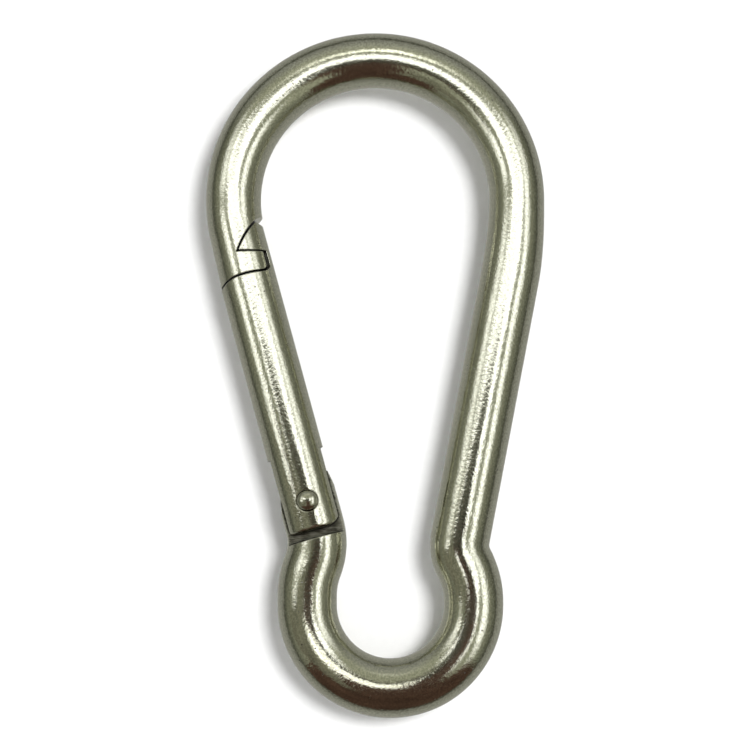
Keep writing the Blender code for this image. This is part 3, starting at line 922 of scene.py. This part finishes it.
def lamps(n, across, up):
    """Tall windows at both sides, narrow strips, a middle light and an oval outline above the middle."""
    # A ramp takes 0 to 1, so heights are moved up by a half, and the oval's size is halved.
    side = n.math("ABSOLUTE", across)
    high = n.plus(up, 0.5)

    def patch(stops_across, stops_up):
        return n.times(n.ramp(side, stops_across), n.ramp(high, stops_up))

    windows = patch(
        [(0.29, 0.0), (0.34, 1.0), (0.40, 1.0), (0.51, 0.0)],
        [(0.26, 0.0), (0.46, 1.0), (0.66, 0.9), (0.90, 0.0)],
    )
    strips = patch(
        [(0.10, 0.0), (0.125, 1.0), (0.158, 1.0), (0.19, 0.0)],
        [(0.38, 0.0), (0.47, 1.0), (0.66, 1.0), (0.74, 0.0)],
    )
    centre = patch([(0.10, 1.0), (0.15, 0.0)], [(0.48, 0.0), (0.51, 1.0), (0.65, 1.0), (0.70, 0.0)])
    from_middle = n.minus(up, OVAL_MIDDLE)
    above = n.math("DIVIDE", from_middle, OVAL_ABOVE)
    below = n.math("DIVIDE", from_middle, -OVAL_BELOW)
    oval = n.distance(n.math("DIVIDE", across, OVAL_HALF_WIDTH), n.math("MAXIMUM", above, below))
    oval = n.ramp(n.times(oval, 0.5), [(0.33, 0.0), (0.42, 1.0), (0.56, 1.0), (0.66, 0.0)])
    oval = n.times(oval, n.ramp(high, [(0.40, 0.0), (0.52, 1.0), (0.73, 1.0), (0.78, 0.0)]))
    gap = n.ramp(high, [(0.575, 0.0), (0.60, 0.95), (0.634, 0.95), (0.655, 0.0)])
    gap = n.times(gap, n.math("LESS_THAN", across, -0.18))
    past_gap = n.minus(1.0, gap)
    light = n.times(n.times(windows, past_gap), LAMP_STRENGTH)
    oval = n.times(oval, past_gap)
    for share, strength in ((strips, STRIP_STRENGTH), (centre, CENTRE_STRENGTH), (oval, OVAL_STRENGTH)):
        light = n.math("MAXIMUM", light, n.times(share, strength))
    sky = n.times(n.math("MULTIPLY", n.minus(up, 0.38), 6.0, clamp=True), 0.16)
    light = n.plus(light, sky)
    return n.add("ShaderNodeCombineColor", {0: light, 1: light, 2: n.times(light, 1.10)}).outputs[0]


def studio():
    """The light the steel reflects. The back of the studio is the same as its front."""
    world = bpy.data.worlds.new("studio")
    bpy.context.scene.world = world
    n = Nodes(world)
    across, up = midway(n)
    light = n.vector("ADD", {0: walls(n, across, up), 1: lamps(n, across, up)})
    path = n.add("ShaderNodeLightPath").outputs
    plain = n.plus(n.times(path["Is Camera Ray"], 1.0 - AMBIENT), AMBIENT)
    white = n.add("ShaderNodeBackground", {"Color": (1.0, 1.0, 1.0, 1.0), "Strength": plain}).outputs[0]
    shiny = n.add("ShaderNodeBackground", {"Color": light, "Strength": 1.0}).outputs[0]
    n.add("ShaderNodeOutputWorld", {"Surface": n.blend(path["Is Glossy Ray"], white, shiny)})


def grid_light(name, strength, power):
    """A softbox with a honeycomb grid, which shines only straight ahead."""
    n = Nodes(bpy.data.materials.new(name))
    geometry = n.add("ShaderNodeNewGeometry").outputs
    aim = n.vector("DOT_PRODUCT", {0: geometry["Normal"], 1: geometry["Incoming"]}, "Value")
    aim = n.math("POWER", n.math("ABSOLUTE", aim), power)
    shine = n.glow((1.0, 1.0, 0.98, 1.0), n.times(aim, strength))
    return n.finish(n.add("ShaderNodeAddShader", {0: shine, 1: n.clear()}).outputs[0])


def cloth(name, low, high, stops):
    """Dark cloth as a glowing card: its glow is painted light on the cloth, and the noise in it is painted
    shade of folds. The stops give the colour from the low to the high end.
    """
    n = Nodes(bpy.data.materials.new(name))
    spot = n.object_place()
    height = n.parts(spot)[2]
    tint = n.ramp(n.math("DIVIDE", n.minus(height, low), high - low), stops)
    return n.finish(n.glow(tint, n.times(n.noise(spot, 34.0, 4.0, 0.6), 2.0)))


def rectangle(half_x, half_z, y=0.0):
    return [(-half_x, y, -half_z), (half_x, y, -half_z), (half_x, y, half_z), (-half_x, y, half_z)]


def cut_out(name, corners, material):
    """A flat shape that only shows as a reflection."""
    obj = new_object(name, corners, [tuple(range(len(corners)))], [material])
    obj.visible_camera = False
    obj.visible_diffuse = False
    obj.visible_shadow = False
    return obj


def lamp_card(name, centre, size, facing, material):
    obj = cut_out(name, rectangle(size[0] / 2, size[1] / 2), material)
    obj.location = centre
    obj.rotation_mode = "QUATERNION"
    obj.rotation_quaternion = Vector(facing).to_track_quat("-Y", "Z")


def lamp_cards():
    crown = Vector((MIDDLE.x, 0.0, BODY_HIGH.z - 0.004))
    place = MIDDLE + Vector((0.0, -0.20, 0.192))
    lamp_card("top_lamp", place, (0.22, 0.055), crown - place, grid_light("grid_light", 2.1, 45.0))
    place = MIDDLE + Vector((-0.012, -0.05, -0.059))
    low_light = grid_light("low_grid_light", 2.2, 14.0)
    lamp_card("low_lamp", place, (0.034, 0.013), (0.0, 1.0, -0.10), low_light)


def dark_cloths():
    """A wide cloth in front of the hook, a nearer one at its side and a brown one below it."""
    wide = cloth("wide_cloth", -0.10, 0.094, [
        (0.0, (0.105, 0.060, 0.044)),
        (0.58, (0.095, 0.060, 0.045)),
        (0.70, (0.068, 0.066, 0.053)),
        (0.84, (0.105, 0.103, 0.084)),
        (0.93, (0.17, 0.165, 0.13)),
        (1.0, (0.32, 0.31, 0.25)),
    ])
    outline = [
        (-0.055, 0.094), (0.034, 0.094), (0.044, 0.078), (0.048, 0.050), (0.085, 0.0), (0.085, -0.10),
        (-0.05, -0.10), (-0.05, 0.004), (-0.30, 0.004), (-0.28, 0.020), (-0.13, 0.032), (-0.11, 0.050),
        (-0.10, 0.066), (-0.075, 0.082),
    ]
    cut_out("wide_cloth", [(x, -WIDE_CLOTH_DISTANCE, z) for x, z in outline], wide)
    side = cloth("side_cloth", -0.10, 0.052, [(0.0, (0.20, 0.19, 0.15)), (1.0, (0.26, 0.26, 0.20))])
    outline = [
        (-0.035, -0.10), (-0.035, 0.046), (-0.052, 0.046), (-0.062, 0.030), (-0.11, 0.016),
        (-0.30, 0.016), (-0.30, -0.10),
    ]
    cut_out("side_cloth", [(x, -SIDE_CLOTH_DISTANCE, z) for x, z in outline], side)
    low = cloth("low_cloth", -1.0, 1.0, [(0.0, (0.090, 0.052, 0.038))])
    outline = [
        (-0.12, 0.0), (0.12, 0.0), (0.12, -0.11), (0.07, -0.13), (0.07, -0.38), (-0.065, -0.38),
        (-0.065, -0.13), (-0.12, -0.11),
    ]
    cut_out("low_cloth", [(x, y, MIDDLE.z - LOW_CLOTH_DROP) for x, y in outline], low)


def paper_glow(y_sheet):
    """The sheet as the front of the steel reflects it. Rays from the back of the steel pass through it."""
    n = Nodes(bpy.data.materials.new("paper_glow"))
    geometry = n.add("ShaderNodeNewGeometry").outputs
    length = n.add("ShaderNodeLightPath").outputs["Ray Length"]
    back_along = n.vector("SCALE", {0: geometry["Incoming"], "Scale": length})
    start = n.vector("ADD", {0: back_along, 1: geometry["Position"]})
    ahead_of = n.minus(FRONT_OF_STEEL, n.parts(start)[1])
    from_front = n.math("MULTIPLY", ahead_of, FRONT_FADE, clamp=True)
    slant = n.math("ABSOLUTE", n.parts(geometry["Incoming"])[1])
    tint = n.ramp(slant, [
        (0.0, (0.14, 0.145, 0.116)),
        (0.11, (0.078, 0.080, 0.064)),
        (0.20, (0.27, 0.27, 0.25)),
        (0.48, (0.38, 0.38, 0.36)),
        (1.0, (0.42, 0.42, 0.40)),
    ])
    material = n.finish(n.blend(from_front, n.clear(), n.glow(tint)))
    cut_out("paper_glow", rectangle(SHEET_HALF_WIDTH, SHEET_HALF_WIDTH, y_sheet - GLOW_GAP), material)


def white_paper():
    """Paper that is clear from behind."""
    n = Nodes(bpy.data.materials.new("white_sheet"))
    grain = n.noise(n.object_place(), 900.0, 3.0)
    tint = n.mix(grain, (0.80, 0.80, 0.80), (0.84, 0.84, 0.84))
    paper = n.add("ShaderNodeBsdfDiffuse", {"Color": tint}).outputs[0]
    back = n.add("ShaderNodeNewGeometry").outputs["Backfacing"]
    return n.finish(n.blend(back, paper, n.clear()))


def sheet(y_sheet):
    """The white sheet behind the hook. It curves forward into the floor."""
    z_floor = BODY_LOW.z - FLOOR_DROP
    profile = [(y_sheet, z_floor + SHEET_HEIGHT)]
    for i in range(BEND_STEPS + 1):
        turn = math.pi / 2 * i / BEND_STEPS
        bend = (y_sheet - SHEET_BEND * (1 - math.cos(turn)), z_floor + SHEET_BEND * (1 - math.sin(turn)))
        profile.append(bend)
    profile.append((y_sheet - SHEET_DEPTH, z_floor))
    corners = [(x, y, z) for y, z in profile for x in (-SHEET_HALF_WIDTH, SHEET_HALF_WIDTH)]
    faces = [(2 * i, 2 * i + 1, 2 * i + 3, 2 * i + 2) for i in range(len(profile) - 1)]
    obj = new_object("white_sheet", corners, faces, [white_paper()])
    obj.data.shade_smooth()
    if obj.data.polygons[0].normal.y > 0:
        obj.data.flip_normals()
    obj.visible_glossy = False


def sun(name, energy, angle, toward):
    data = bpy.data.lights.new(name, "SUN")
    data.energy = energy
    data.angle = math.radians(angle)
    obj = bpy.data.objects.new(name, data)
    obj.rotation_mode = "QUATERNION"
    obj.rotation_quaternion = Vector(toward).to_track_quat("Z", "Y")
    obj.visible_glossy = False
    bpy.context.scene.collection.objects.link(obj)


def camera():
    """In front of the hook and slightly below it, at nearly a right angle to its plane."""
    data = bpy.data.cameras.new("camera")
    data.sensor_width = SENSOR_WIDTH
    height = (cad_box[1][2] - cad_box[0][2]) * math.cos(VIEW_RISE)
    data.lens = SENSOR_WIDTH * VIEW_FILL * VIEW_DISTANCE / height
    data.shift_y = VIEW_SHIFT
    data.clip_start = 0.01
    obj = bpy.data.objects.new("camera", data)
    obj.location = MIDDLE + TO_VIEWER * VIEW_DISTANCE
    obj.rotation_mode = "QUATERNION"
    obj.rotation_quaternion = TO_VIEWER.to_track_quat("Z", "Y")
    bpy.context.scene.collection.objects.link(obj)
    bpy.context.scene.camera = obj


studio()
lamp_cards()
dark_cloths()
behind_hook = max(BODY_HIGH.y, RIVET_HIGH.y) + SHEET_GAP
sheet(behind_hook)
paper_glow(behind_hook)
sun("soft_sun", 3.0, 21, (0.40, -1.0, 0.16))
sun("overhead", 1.5, 60, (0.0, 0.0, 1.0))
camera()
bpy.context.scene.view_settings.view_transform = "Standard"
